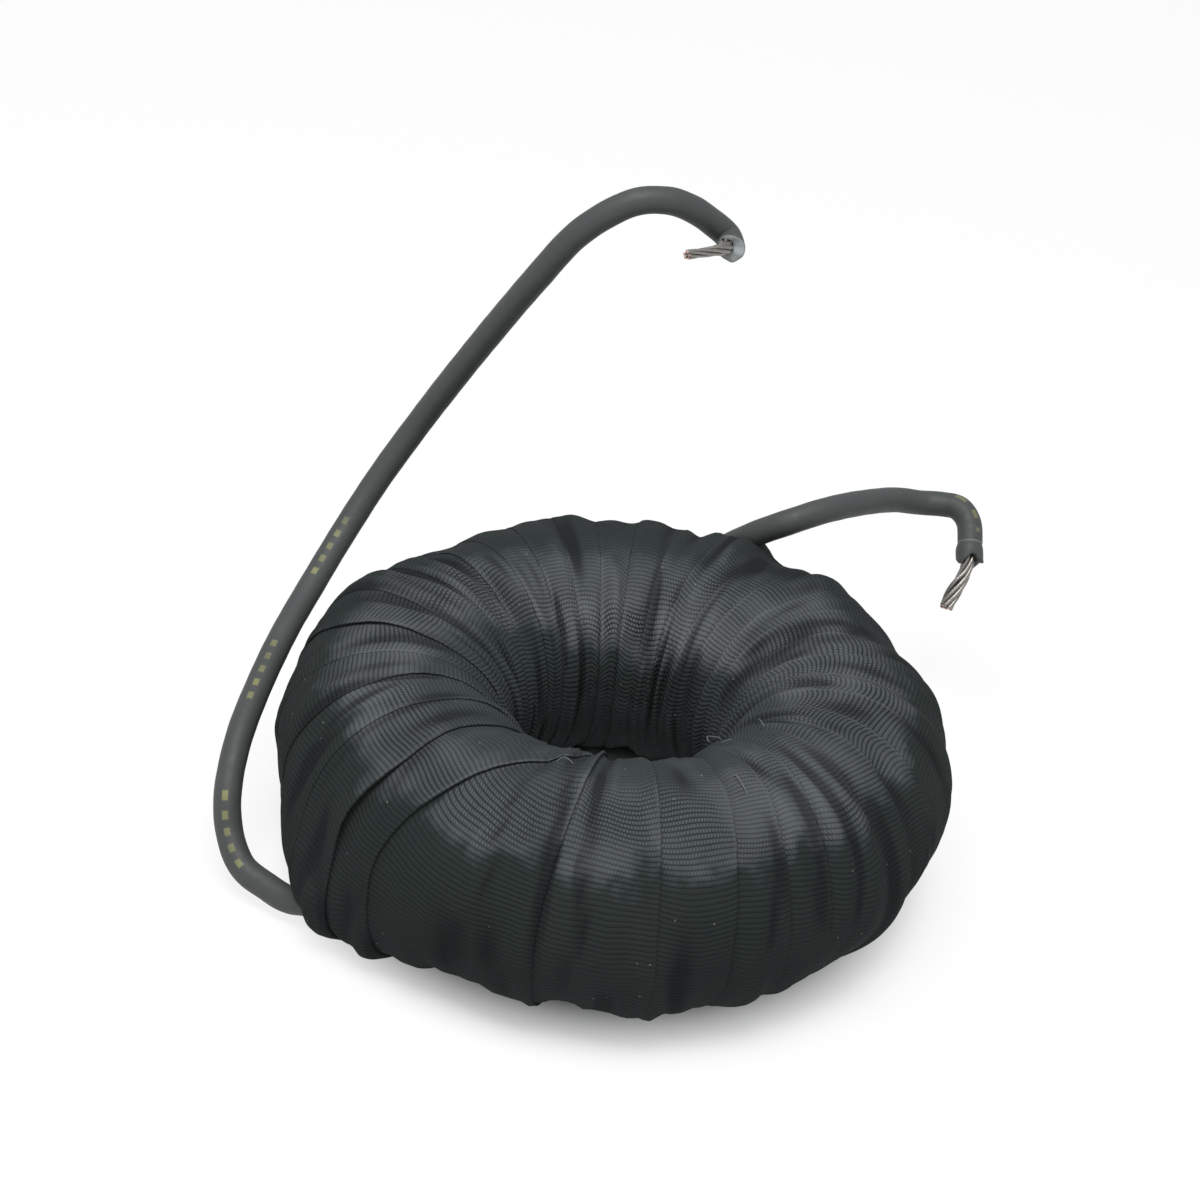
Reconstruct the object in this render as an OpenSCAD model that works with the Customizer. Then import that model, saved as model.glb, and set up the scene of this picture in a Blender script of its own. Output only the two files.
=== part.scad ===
// Toroidal inductor: a wound ring core wrapped in overlapping woven tape, with two stranded leads.
// Millimetres. Origin at the middle of the underside, Z up along the ring's axis.

/* [Ring] */
// outside diameter over the tape
ring_d = 76; // [70:0.5:90]
// height over the tape
ring_h = 27; // [25:0.5:32]
// clear diameter of the hole through the middle
hole_d = 23.5; // [20:0.5:26]
// how far the round section is pressed flat where it stands
sit_flat = 0.6; // [0.4:0.1:1]

/* [Tape] */
// thickness of the woven tape
tape_t = 0.45; // [0.3:0.05:0.6]
// air between one turn and the turn below it
lap_gap = 0.12; // [0.1:0.02:0.2]
// share of a turn's showing width that lies over the turn before
lap_share = 0.4; // [0.25:0.05:0.45]

/* [Winding] */
// thickness of the enamelled wire
wire_t = 2; // [1.4:0.1:2.2]
// number of turns in the top layer
wire_turns = 30; // [24:1:34]
// air between the winding and the tape
wind_gap = 0.25; // [0.2:0.05:0.4]
// thickness of the inner layers beside the core
wind_side = 3.4; // [2.8:0.1:4.5]
// thickness of the inner layers above and below the core
wind_top = 2.5; // [2:0.1:4]

/* [Core] */
// corner radius of the bare core
core_r = 1.5; // [1:0.1:2.5]
// thickness of the insulating wrap on the core
wrap_t = 0.4; // [0.2:0.1:0.6]
// air between pieces that sit one on the other
fit_gap = 0.05; // [0.02:0.01:0.08]

/* [Leads] */
// diameter of a lead over its jacket
lead_d = 3.1; // [2.5:0.1:3.5]
// diameter of the bare twisted conductor
bare_d = 1.6; // [1.2:0.1:1.8]
// length of the sleeved joint at the inner end of a lead
joint_len = 5; // [4:0.5:6]
// diameter of the sleeved joint
joint_d = 2.8; // [2.2:0.1:3]
// air round a lead where it passes through the tape
lead_gap = 0.2; // [0.15:0.05:0.3]

/* [Hidden] */

// section of the wrapped ring: an ellipse of these half sizes, its middle this far out and up
// (drawn as flats that touch it, so the stated sizes are held across the flats)
section_sides = 16;
round_out = 1 / cos(180 / section_sides);
half_w = (ring_d - hole_d) / 4 * round_out;
half_h = (ring_h + sit_flat) / 2 * round_out;
mid_r = (ring_d + hole_d) / 4;
mid_z = (ring_h - sit_flat) / 2;

// the tape is two layers deep all round
tape_deep = 2 * tape_t + lap_gap;
// where the showing part of a turn starts to slope, and where its back leaves the turn before
slope_share = 0.1;
step_share = 0.2;
slope_from = lap_share + slope_share;
step_to = lap_share + step_share;
// the tape's two cut ends stop this share of a turn short of each other
end_share = 0.004;

// angle round the ring of each turn's showing edge: on the outer side, and in the hole
tape_laps = [
    [522, 530], [510, 516], [499, 505], [488, 494], [478, 484], [468, 473], [458, 463], [448, 453],
    [438, 443], [428, 433], [417, 422], [406, 412], [396, 402], [387, 393], [378, 383], [368, 373],
    [358, 364], [349, 355], [340, 346], [331, 337], [322, 328], [310, 318], [302, 310], [292, 303],
    [280, 282], [261, 269], [231, 261], [223, 232], [212, 217], [200, 203], [187, 195], [174, 187]];
tape_turns = len(tape_laps);

// swellings of the wrap: angle round the ring, angle round the section, height, and the two spreads
swellings = [
    [216, -34, 4, 13, 26],
    [66, 55, 1.6, 7, 20],
    [280, -42, 0.8, 6, 26],
    [175, 42, 0.6, 16, 24],
    [38, 68, 0.7, 9, 20]];

// routes of the leads from the joint under the tape to the end of the jacket,
// in hundredths of the ring's radius across and of its height up
left_points = [
    [-73, -58, 17.5], [-87, -51.5, 9.5], [-96, -46, 9.5], [-104, -41, 13], [-109, -34, 22],
    [-111, -26.5, 35], [-110.5, -13, 48], [-108, 5.5, 57.5], [-104, 26.5, 66.5], [-98.5, 46, 76],
    [-92, 62, 89], [-83, 73.5, 109.5], [-72.5, 79, 133.5], [-62, 77.5, 159.5], [-50, 73.5, 189],
    [-38, 67, 218.5], [-26.5, 64.5, 242.5], [-13, 64.5, 257.5], [-2.5, 67, 259.5], [5.5, 71.5, 254.5],
    [12.5, 76.5, 246], [17, 77.5, 240.5], [18.5, 71.5, 239]];
left_bare_points = [[18.5, 71.5, 239], [16, 67.5, 240.5], [11, 63, 241], [5.5, 59, 241.5]];
right_points = [
    [23.5, 83, 81.5], [32, 79, 93.5], [38, 75.5, 102], [47.5, 73.5, 111], [58, 79, 114],
    [69.5, 92, 109.5], [81.5, 106.5, 102], [91, 112.5, 97.5], [98, 113, 97.5], [103.5, 111, 98],
    [107, 107.5, 94.5], [108, 103, 89], [108, 97.5, 82.5]];
right_bare_points = [[108, 97.5, 82.5], [107, 94.5, 77], [105, 91, 71.5], [102, 87, 64]];
lead_sides = 8;
// pieces that each span of a route is cut into
span_steps = 2;
// strands round the middle one, points on each, how deep the valleys between them are, and their turn
lobes = 6;
lobe_points = 3;
valley_share = 0.8;
twist_per_mm = 28;
// a direction that no route starts along
plumb = [0.3, 0.2, 1];
// facets of the core and of the sleeved joints
ring_sides = 96;
rod_sides = 48;

function mix(a, b, q) = a + (b - a) * q;
function ease(t) = (1 - cos(180 * t)) / 2;
function unit(v) = v / norm(v);
function across(v, w) = unit(v - (v * w) * w);

function on_ring(p) = [p[0] * ring_d / 2, p[1] * ring_d / 2, p[2] * ring_h] / 100;
left_route = [for (p = left_points) on_ring(p)];
right_route = [for (p = right_points) on_ring(p)];
left_bare = [for (p = left_bare_points) on_ring(p)];
right_bare = [for (p = right_bare_points) on_ring(p)];

// angle between two directions round a circle, from -180 to 180
function turn_from(a, b) = (a - b + 180) - 360 * floor((a - b + 180) / 360) - 180;
function bump(a, b, w) = exp(-pow(turn_from(a, b) / w, 2));
function one_swelling(w, theta, phi) = w[2] * bump(theta, w[0], w[3]) * bump(phi, w[1], w[4]);
function swell(theta, phi, i = 0) =
    i == len(swellings) ? 0 : one_swelling(swellings[i], theta, phi) + swell(theta, phi, i + 1);

// a point at some depth below the wrapped surface, never lower than that depth above the floor
function skin(theta, phi, deep, swollen = 1) =
    let (s = swollen * swell(theta, phi))
    let (r = mid_r + (half_w - deep + s) * cos(phi))
    let (z = mid_z + (half_h - deep + s) * sin(phi))
    [r * cos(theta), r * sin(theta), max(z, deep)];

function lap(k, side) = tape_laps[k % tape_turns][side] - 360 * floor(k / tape_turns);
// the showing edge of the tape after s turns: in the hole at whole turns, outside at half turns
function lap_edge(s) =
    let (k = floor(s))
    let (f = s - k)
    f < 0.5 ? mix(lap(k, 1), lap(k, 0), ease(2 * f)) : mix(lap(k, 0), lap(k + 1, 1), ease(2 * f - 1));
function section_angle(s) = 180 - 360 * (s - floor(s));

// nine points across the tape, from its showing edge to its tucked edge and back
function tape_row(s) =
    let (phi = section_angle(s))
    let (a = lap_edge(s))
    let (b = lap_edge(s + 1))
    let (c = lap_edge(s + 2))
    let (tuck = mix(b, c, lap_share))
    [
        skin(a, phi, tape_t),
        skin(a, phi, 0),
        skin(mix(a, b, slope_from), phi, 0),
        skin(b, phi, tape_t + lap_gap),
        skin(tuck, phi, tape_t + lap_gap),
        skin(tuck, phi, tape_deep),
        skin(b, phi, tape_deep),
        skin(mix(a, b, step_to), phi, tape_deep),
        skin(mix(a, b, lap_share), phi, tape_t)];
function tape_end() = [[0, 1, 8], [1, 2, 8], [2, 7, 8], [2, 3, 7], [3, 6, 7], [3, 4, 5], [3, 5, 6]];
// the strip of faces that lies on the turn before is split the same way as the face under it
function tape_turned() = [8];
tape_middle = [for (i = [0 : section_sides * tape_turns - 1]) (i + 0.5) / section_sides];
tape_stations = concat([end_share], tape_middle, [tape_turns - end_share]);

// four points of the wire's square section, wound round the inner layers
wire_deep = tape_deep + wind_gap;
layer_deep = wire_deep + wire_t + fit_gap;
hole_wire_r = mid_r - half_w + wire_deep;
// share of its pitch in the hole that half a wire may fill
wire_share = 0.47;
wire_half = min(wire_t / 2, wire_share * 360 / wire_turns * hole_wire_r * PI / 180);
function wire_row(s) =
    let (phi = section_angle(s))
    let (theta = 360 * s / wire_turns)
    let (top = skin(theta, phi, wire_deep, 0))
    let (low = skin(theta, phi, wire_deep + wire_t, 0))
    let (side = [-sin(theta), cos(theta), 0] * wire_half)
    [low + side, top + side, top - side, low - side];
wire_stations = [for (i = [0 : section_sides * wire_turns - 2]) (i + 0.5) / section_sides];

// outline of the winding's inner layers, row by row under the wire
layer_outline = [for (i = [0 : section_sides - 1])
    let (phi = section_angle((i + 0.5) / section_sides))
    [mid_r + (half_w - layer_deep) * cos(phi), max(mid_z + (half_h - layer_deep) * sin(phi), layer_deep)]];

// the bare core fills what the layers, its wrap and the air between them leave
core_deep = layer_deep + wrap_t + 2 * fit_gap;
core_w = (ring_d - hole_d) / 2 - 2 * (core_deep + wind_side);
core_h = ring_h + sit_flat - 2 * (core_deep + wind_top);

// points between the route points, on a smooth curve through them
function smooth(p, i, t) =
    let (a = p[max(i - 1, 0)], b = p[i], c = p[i + 1], d = p[min(i + 2, len(p) - 1)])
    b + (c - a) * t / 2 + (2 * a - 5 * b + 4 * c - d) * t * t / 2 + (3 * b - a - 3 * c + d) * t * t * t / 2;
function path(p) =
    let (middle = [for (i = [1 : len(p) - 2], j = [0 : span_steps - 1]) smooth(p, i, j / span_steps)])
    concat([p[0]], middle, [p[len(p) - 1]]);
function heading(p, i) = unit(p[min(i + 1, len(p) - 1)] - p[max(i - 1, 0)]);
function start_heading(p, i) = i == 0 ? unit(p[1] - p[0]) : heading(p, i);
// a direction square to the path, carried along it without turning
function carried(p) = [for (i = 0, n = across(plumb, start_heading(p, 0)); i < len(p);
    i = i + 1, n = i < len(p) ? across(n, start_heading(p, i)) : n) n];
function tube_rows(p, radius) =
    let (n = carried(p))
    [for (i = [0 : len(p) - 1])
        let (w = start_heading(p, i))
        let (m = cross(w, n[i]))
        [for (j = [0 : lead_sides - 1])
            let (t = 360 * j / lead_sides)
            p[i] + radius * (n[i] * cos(t) + m * sin(t))]];
function end_heading(p) = heading(p, len(p) - 1);
// the faces that close an end: a fan from its first point
function fan(count) = [for (j = [1 : count - 2]) [0, j, j + 1]];

// a bundle of twisted strands: rounded lobes that turn along the path
bundle_sides = lobes * lobe_points;
function lobe_reach(j) = j % lobe_points == 0 ? valley_share : 1;
function run(p, i) = i == 0 ? 0 : run(p, i - 1) + norm(p[i] - p[i - 1]);
function bundle_rows(p, w0) =
    let (n = carried(p))
    [for (i = [0 : len(p) - 1])
        let (w = i == 0 ? w0 : start_heading(p, i))
        let (u = across(n[i], w))
        let (m = cross(w, u))
        [for (j = [0 : bundle_sides - 1])
            let (t = 360 * j / bundle_sides + twist_per_mm * run(p, i))
            p[i] + bare_d / 2 * lobe_reach(j) * (u * cos(t) + m * sin(t))]];

// a solid through rows of points, closed at both ends by the given triangles
module loft(rows_of_points, cap, turned = []) {
    n = len(rows_of_points);
    m = len(rows_of_points[0]);
    points = [for (row = rows_of_points) each row];
    sides = [for (i = [0 : n - 2], j = [0 : m - 1])
        let (a = i * m + j, b = i * m + (j + 1) % m, c = b + m, d = a + m)
        each len(search(j, turned)) > 0 ? [[a, d, b], [b, d, c]] : [[a, c, b], [a, d, c]]];
    first = [for (t = cap) [t[0], t[1], t[2]]];
    last = [for (t = cap) [(n - 1) * m + t[2], (n - 1) * m + t[1], (n - 1) * m + t[0]]];
    polyhedron(points, concat(sides, first, last), convexity = 10);
}

// a rounded rectangle round the middle of the section
module section_block(w, h, r) {
    translate([mid_r, mid_z]) {
        square([w - 2 * r, h], center = true);
        square([w, h - 2 * r], center = true);
        for (x = [-1, 1], y = [-1, 1])
            translate([x * (w / 2 - r), y * (h / 2 - r)])
                circle(r = r, $fn = rod_sides);
    }
}

// a rod from one point to another
module rod(from, to, d) {
    v = to - from;
    translate(from)
        rotate([0, acos(v[2] / norm(v)), atan2(v[1], v[0])])
            cylinder(d = d, h = norm(v), $fn = rod_sides);
}

left_inner = left_route[0] - joint_len * unit(left_route[1] - left_route[0]);
right_inner = right_route[0] - joint_len * unit(right_route[1] - right_route[0]);

// the way a lead takes out through the winding and the tape
module lead_way(inner, route) {
    rod(inner, route[1] + lead_d * unit(route[1] - route[0]), lead_d + 2 * lead_gap);
}

module core() {
    color("DimGray")
        rotate_extrude($fn = ring_sides)
            section_block(core_w, core_h, core_r);
}

module core_wrap() {
    out = fit_gap + wrap_t;
    color("Khaki")
        rotate_extrude($fn = ring_sides)
            difference() {
                section_block(core_w + 2 * out, core_h + 2 * out, core_r + out);
                section_block(core_w + 2 * fit_gap, core_h + 2 * fit_gap, core_r + fit_gap);
            }
}

module winding() {
    out = 2 * fit_gap + wrap_t;
    color("Sienna")
        difference() {
            union() {
                rotate_extrude($fn = ring_sides)
                    difference() {
                        polygon(layer_outline);
                        section_block(core_w + 2 * out, core_h + 2 * out, core_r + out);
                    }
                loft([for (s = wire_stations) wire_row(s)], fan(4));
            }
            lead_way(left_inner, left_route);
            lead_way(right_inner, right_route);
        }
}

module outer_tape() {
    color([0.12, 0.13, 0.13])
        difference() {
            loft([for (s = tape_stations) tape_row(s)], tape_end(), tape_turned());
            lead_way(left_inner, left_route);
            lead_way(right_inner, right_route);
        }
}

module left_joint() {
    color("WhiteSmoke")
        rod(left_inner, left_route[0], joint_d);
}

module right_joint() {
    color("WhiteSmoke")
        rod(right_inner, right_route[0], joint_d);
}

module left_lead() {
    color([0.2, 0.21, 0.21])
        loft(tube_rows(path(left_route), lead_d / 2), fan(lead_sides));
}

module right_lead() {
    color([0.2, 0.21, 0.21])
        loft(tube_rows(path(right_route), lead_d / 2), fan(lead_sides));
}

module left_strands() {
    color("Silver")
        loft(bundle_rows(path(left_bare), end_heading(path(left_route))), fan(bundle_sides));
}

module right_strands() {
    color("Silver")
        loft(bundle_rows(path(right_bare), end_heading(path(right_route))), fan(bundle_sides));
}

core();
core_wrap();
winding();
outer_tape();
left_joint();
left_lead();
left_strands();
right_joint();
right_lead();
right_strands();
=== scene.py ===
"""Toroidal inductor: a ring wrapped in lapped black woven tape, with two stranded leads."""
import math

import bpy
import numpy as np
from mathutils import Matrix, Vector


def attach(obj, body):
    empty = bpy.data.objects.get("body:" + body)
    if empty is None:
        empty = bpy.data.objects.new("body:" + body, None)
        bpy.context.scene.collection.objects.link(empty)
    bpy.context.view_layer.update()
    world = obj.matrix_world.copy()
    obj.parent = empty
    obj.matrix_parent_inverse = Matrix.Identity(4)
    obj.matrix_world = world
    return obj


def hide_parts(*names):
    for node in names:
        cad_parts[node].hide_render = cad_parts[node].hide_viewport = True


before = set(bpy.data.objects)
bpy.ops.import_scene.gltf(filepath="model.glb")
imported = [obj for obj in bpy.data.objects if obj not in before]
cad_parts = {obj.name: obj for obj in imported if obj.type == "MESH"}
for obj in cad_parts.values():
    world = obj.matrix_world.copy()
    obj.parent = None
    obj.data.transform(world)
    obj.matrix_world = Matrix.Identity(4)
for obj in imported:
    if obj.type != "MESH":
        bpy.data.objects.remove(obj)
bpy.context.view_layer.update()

MM = 0.001

# the wrapped ring, in millimetres
RING_D, RING_H, HOLE_D, SIT_FLAT = 76.0, 27.0, 23.5, 0.6
HALF_W = (RING_D - HOLE_D) / 4
HALF_H = (RING_H + SIT_FLAT) / 2
MID_R = (RING_D + HOLE_D) / 4
MID_Z = (RING_H - SIT_FLAT) / 2
SECTION_ROUND = 2 * math.pi * math.sqrt((HALF_W ** 2 + HALF_H ** 2) / 2)

# angle round the ring of each turn's showing edge: on the outer side, and in the hole
TAPE_LAPS = np.array([
    [522, 530], [510, 516], [499, 505], [488, 494], [478, 484], [468, 473], [458, 463], [448, 453],
    [438, 443], [428, 433], [417, 422], [406, 412], [396, 402], [387, 393], [378, 383], [368, 373],
    [358, 364], [349, 355], [340, 346], [331, 337], [322, 328], [310, 318], [302, 310], [292, 303],
    [280, 282], [261, 269], [231, 261], [223, 232], [212, 217], [200, 203], [187, 195], [174, 187]], float)
TURNS = len(TAPE_LAPS)
ROWS_PER_TURN = 180

# swellings of the wrap: angle round the ring, angle round the section, height, and the two spreads
SWELLINGS = [(216, -34, 4.0, 13, 26), (66, 55, 1.6, 7, 20), (280, -42, 0.8, 6, 26), (175, 42, 0.6, 16, 24),
             (38, 68, 0.7, 9, 20)]

# smaller lumps and hollows, in the same form
LUMPS = [(195, -3, -0.55, 8, 16), (209, -24, -0.5, 5, 14), (228, -42, 0.9, 6, 14), (137, 62, -0.7, 7, 16),
         (158, 60, 0.8, 8, 16), (106, 62, 0.6, 9, 16), (84, 60, 0.7, 7, 14), (57, 57, -1.0, 4, 16),
         (43, 58, 0.8, 5, 16), (22, 52, -0.5, 6, 16), (6, 38, 0.4, 5, 16), (352, 2, 0.55, 7, 16),
         (337, -20, -0.8, 8, 16), (320, -36, -0.8, 9, 18), (169, 28, -0.5, 5, 14), (252, -56, -0.8, 13, 20),
         (275, -56, -0.85, 13, 20), (298, -54, -0.8, 13, 20)]

# places where a turn's edge swerves: turn, angle round the section, spread, degrees round the ring
SWERVES = [(26, 116, 18, 11), (27, 60, 22, 1.5), (23, 100, 16, -1.5)]

# height of a turn's edge above the turn below it, and the turns whose edge shows more or less than that
EDGE_HEIGHT = 0.11
EDGE_HEIGHTS = {31: 0.22, 30: 0.07, 29: 0.16, 28: 0.07, 27: 0.40, 26: 0.34, 25: 0.26, 24: 0.12,
                23: 0.30, 22: 0.24}

# places where a turn's edge stands off the turn below: turn, angle round the section, spread, height
LIFTS = [(27, 28, 20, 0.80), (26, 60, 30, 0.15), (23, 85, 16, 0.25), (22, 70, 20, 0.2),
         (25, 100, 14, 0.25), (31, 75, 25, 0.2), (29, 100, 14, 0.15), (20, 40, 25, 0.15)]

# folds that run round the section: the two angles of their middle, half length, half width, height
FOLDS = [
    (334, 126, 3.0, 0.55, -0.7), (330, 126, 3.5, 1.0, 0.5), (65, 82, 3.6, 0.7, 0.5),
    (57, 84, 3.0, 1.2, -0.35), (272, 14, 6.0, 1.3, 0.35), (268, 10, 6.0, 1.2, -0.3),
    (279, -8, 7.0, 1.1, 0.4), (284, -12, 6.0, 1.2, -0.3), (238, -4, 6.0, 1.2, 0.3),
    (247, -8, 6.0, 1.4, -0.3), (296, -6, 6.0, 1.2, 0.3), (318, 2, 6.0, 1.2, 0.25),
    (146, 128, 4.0, 0.7, 0.35), (131, 140, 4.5, 0.7, 0.35), (118, 160, 5.0, 0.7, 0.4),
    (109, 142, 4.0, 0.6, 0.3), (95, 150, 4.5, 0.7, 0.3), (80, 136, 5.0, 0.8, -0.45),
    (77, 136, 5.0, 0.8, 0.3), (67, 124, 4.0, 0.7, 0.3), (40, 118, 4.0, 0.9, 0.35),
    (20, 128, 4.0, 0.9, -0.4), (352, 122, 4.0, 0.9, 0.35), (205, 130, 5.0, 1.0, 0.3)]

# small folds placed by seeded draws
FOLD_COUNT = 260

# loose threads: the places that each goes through, by the two angles and the height above the wrap
THREAD_D = 0.10
THREADS = [
    [(335, 131, -0.9), (332, 125, 0.5), (328, 119, 1.1), (325, 114, 0.7)],
    [(317, 133, -0.9), (314, 128, 0.7), (309, 129, 1.5), (306, 124, 1.0)],
    [(311, 126, -0.9), (309, 121, 0.5), (311, 116, 0.9)],
    [(300, 95, -0.9), (300.4, 88, 0.2), (300.2, 80, 0.3), (300.8, 73, -0.5)],
    [(262, 93, -0.9), (260, 96, 0.4), (257, 98, 0.6), (255, 97, -0.5)]]

# routes of the leads, from the joint under the tape to the end of the jacket, then along the bare strands,
# in hundredths of the ring's radius across and of its height up
LEFT_POINTS = [
    (-73, -58, 17.5), (-87, -51.5, 9.5), (-96, -46, 9.5), (-104, -41, 13), (-109, -34, 22),
    (-111, -26.5, 35), (-110.5, -13, 48), (-108, 5.5, 57.5), (-104, 26.5, 66.5), (-98.5, 46, 76),
    (-92, 62, 89), (-83, 73.5, 109.5), (-72.5, 79, 133.5), (-62, 77.5, 159.5), (-50, 73.5, 189),
    (-38, 67, 218.5), (-26.5, 64.5, 242.5), (-13, 64.5, 257.5), (-2.5, 67, 259.5), (5.5, 71.5, 254.5),
    (12.5, 76.5, 246), (17, 77.5, 240.5), (18.5, 71.5, 239)]
LEFT_BARE = [(18.5, 71.5, 239), (16, 67.5, 240.5), (11, 63, 241), (5.5, 59, 241.5)]
RIGHT_POINTS = [
    (23.5, 83, 81.5), (32, 79, 93.5), (38, 75.5, 102), (47.5, 73.5, 111), (58, 79, 114),
    (69.5, 92, 109.5), (81.5, 106.5, 102), (91, 112.5, 97.5), (98, 113, 97.5), (103.5, 111, 98),
    (107, 107.5, 94.5), (108, 103, 89), (108, 97.5, 82.5)]
RIGHT_BARE = [(108, 97.5, 82.5), (107, 94.5, 77), (105, 91, 71.5), (102, 87, 64)]

# diameters of the jacket and of a strand, number of strands, and the length in which they twist once round
LEAD_D, STRAND_D, STRAND_COUNT, LAY_LENGTH = 3.1, 0.54, 7, 12.8

# distance of the scored ring from the right jacket's end
SCORE_AT = 1.9

# each jacket's dashes: the side that they are on, and where they start
LEFT_DASHES, RIGHT_DASHES = ((0.85, -0.45, 0.3), 13.0), ((0.55, -0.54, 0.65), 40.0)

# lips of the ragged cut ends: direction from the jacket's middle, half angle, reach forward, spread outward
LEFT_LIPS = [((0.7, -0.2, -0.6), 0.8, 0.6, -0.05), ((-0.6, 0.0, 0.6), 0.7, -0.7, 0.0),
             ((0.1, 0.1, -1.0), 0.4, 0.3, 0.05)]
RIGHT_LIPS = [((-0.8, -0.3, 0.4), 0.6, 0.85, -0.06), ((0.2, -0.6, 0.7), 0.4, -0.55, 0.0),
              ((0.9, -0.2, 0.3), 0.5, 0.45, 0.20), ((0.4, 0.6, -0.7), 0.5, 0.6, 0.05)]

# the hole that the strands leave each jacket by: share of the jacket's radius, and its place off the middle
LEFT_BORE, RIGHT_BORE = (0.42, (-0.55, 0.0, 0.12)), (0.52, (0.0, 0.0, 0.0))

# share of its thickness that each bundle loses towards its tip, and the strand that stands off the rest
LEFT_TAPER, LEFT_STRAY = 0.34, None
RIGHT_TAPER, RIGHT_STRAY = 0.0, 5

# the camera that took the view: place in millimetres, angles in radians, focal length in pixels
EYE = (0.0, -247.0, 184.0)
LOOK_DOWN, LOOK_ASIDE, CAMERA_ROLL = 0.548, -0.0133, 0.1013
FOCAL_PIXELS, IMAGE_PIXELS, SENSOR_MM = 2640.0, 1200.0, 36.0


def place_camera():
    forward = Vector((math.sin(LOOK_ASIDE) * math.cos(LOOK_DOWN),
                      math.cos(LOOK_ASIDE) * math.cos(LOOK_DOWN),
                      -math.sin(LOOK_DOWN)))
    level = Vector((math.cos(LOOK_ASIDE), -math.sin(LOOK_ASIDE), 0.0))
    upright = level.cross(forward)
    right = math.cos(CAMERA_ROLL) * level + math.sin(CAMERA_ROLL) * upright
    up = -math.sin(CAMERA_ROLL) * level + math.cos(CAMERA_ROLL) * upright
    data = bpy.data.cameras.new("camera")
    data.sensor_width = SENSOR_MM
    data.lens = FOCAL_PIXELS / IMAGE_PIXELS * SENSOR_MM
    camera = bpy.data.objects.new("camera", data)
    turn = Matrix((right, up, -forward)).transposed().to_4x4()
    camera.matrix_world = Matrix.Translation(Vector(EYE) * MM) @ turn
    bpy.context.scene.collection.objects.link(camera)
    bpy.context.scene.camera = camera


place_camera()


# helpers for meshes
def mesh_piece(name, points, faces, materials):
    """A new object from points in millimetres; it rides on the ring."""
    mesh = bpy.data.meshes.new(name)
    mesh.from_pydata((np.asarray(points) * MM).tolist(), [], faces)
    mesh.update()
    for material in materials:
        mesh.materials.append(material)
    mesh.shade_smooth()
    piece = bpy.data.objects.new(name, mesh)
    bpy.context.scene.collection.objects.link(piece)
    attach(piece, "root")
    return piece


def corner_layer(mesh, name, values):
    """Stores one vector for each vertex of each face, for a material to read."""
    layer = mesh.attributes.new(name, "FLOAT_VECTOR", "CORNER")
    layer.data.foreach_set("vector", np.asarray(values, np.float32).ravel())


def tube_faces(rings, sides, first=0):
    """Faces of a tube whose rings of points follow each other, then those of its two ends."""
    faces = []
    for i in range(rings - 1):
        for j in range(sides):
            k = (j + 1) % sides
            a = first + i * sides
            faces.append((a + j, a + k, a + sides + k, a + sides + j))
    faces.append(tuple(first + j for j in range(sides))[::-1])
    faces.append(tuple(first + (rings - 1) * sides + j for j in range(sides)))
    return faces


def arms(side, other, turn):
    """Unit directions round a tube, from two directions square to it."""
    return side * np.cos(turn)[:, None] + other * np.sin(turn)[:, None]


# helpers for node trees
class NodeSheet:
    """Places nodes in one node tree and joins their sockets."""

    def __init__(self, tree):
        self.tree = tree

    def add(self, kind, inputs=None, **settings):
        node = self.tree.nodes.new(kind)
        for key, value in settings.items():
            setattr(node, key, value)
        for key, value in (inputs or {}).items():
            self.give(node.inputs[key], value)
        return node

    def give(self, socket, value):
        """Joins a socket to another one, or sets it to a constant."""
        if isinstance(value, bpy.types.NodeSocket):
            self.tree.links.new(value, socket)
        else:
            socket.default_value = value

    def math(self, operation, *values):
        return self.add("ShaderNodeMath", dict(enumerate(values)), operation=operation).outputs[0]

    def vector(self, operation, *values):
        return self.add("ShaderNodeVectorMath", dict(enumerate(values)), operation=operation).outputs

    def ramp(self, value, low, high, to_low=0.0, to_high=1.0):
        inputs = {"Value": value, "From Min": low, "From Max": high, "To Min": to_low, "To Max": to_high}
        node = self.add("ShaderNodeMapRange", inputs, interpolation_type="SMOOTHSTEP")
        return node.outputs["Result"]

    def blend(self, share, one, other):
        inputs = {"Factor": share, "A": one, "B": other}
        node = self.add("ShaderNodeMix", data_type="RGBA")
        for key, value in inputs.items():
            self.give([s for s in node.inputs if s.name == key and s.enabled][0], value)
        return [s for s in node.outputs if s.enabled][0]

    def noise(self, where, scale, detail):
        inputs = {"Vector": where, "Scale": scale, "Detail": detail}
        return self.add("ShaderNodeTexNoise", inputs).outputs["Fac"]


def new_group(name, inputs, outputs):
    tree = bpy.data.node_groups.new(name, "ShaderNodeTree")
    for label, kind, value in inputs:
        socket = tree.interface.new_socket(label, in_out="INPUT", socket_type=kind)
        if value is not None:
            socket.default_value = value
    for label, kind in outputs:
        tree.interface.new_socket(label, in_out="OUTPUT", socket_type=kind)
    sheet = NodeSheet(tree)
    return tree, sheet, sheet.add("NodeGroupInput").outputs, sheet.add("NodeGroupOutput").inputs


def new_material(name):
    material = bpy.data.materials.new(name)
    material.use_nodes = True
    sheet = NodeSheet(material.node_tree)
    return material, sheet, material.node_tree.nodes["Principled BSDF"]


def place_group(sheet, tree, inputs):
    return sheet.add("ShaderNodeGroup", inputs, node_tree=tree).outputs


FLOAT, VECTOR = "NodeSocketFloat", "NodeSocketVector"


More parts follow.
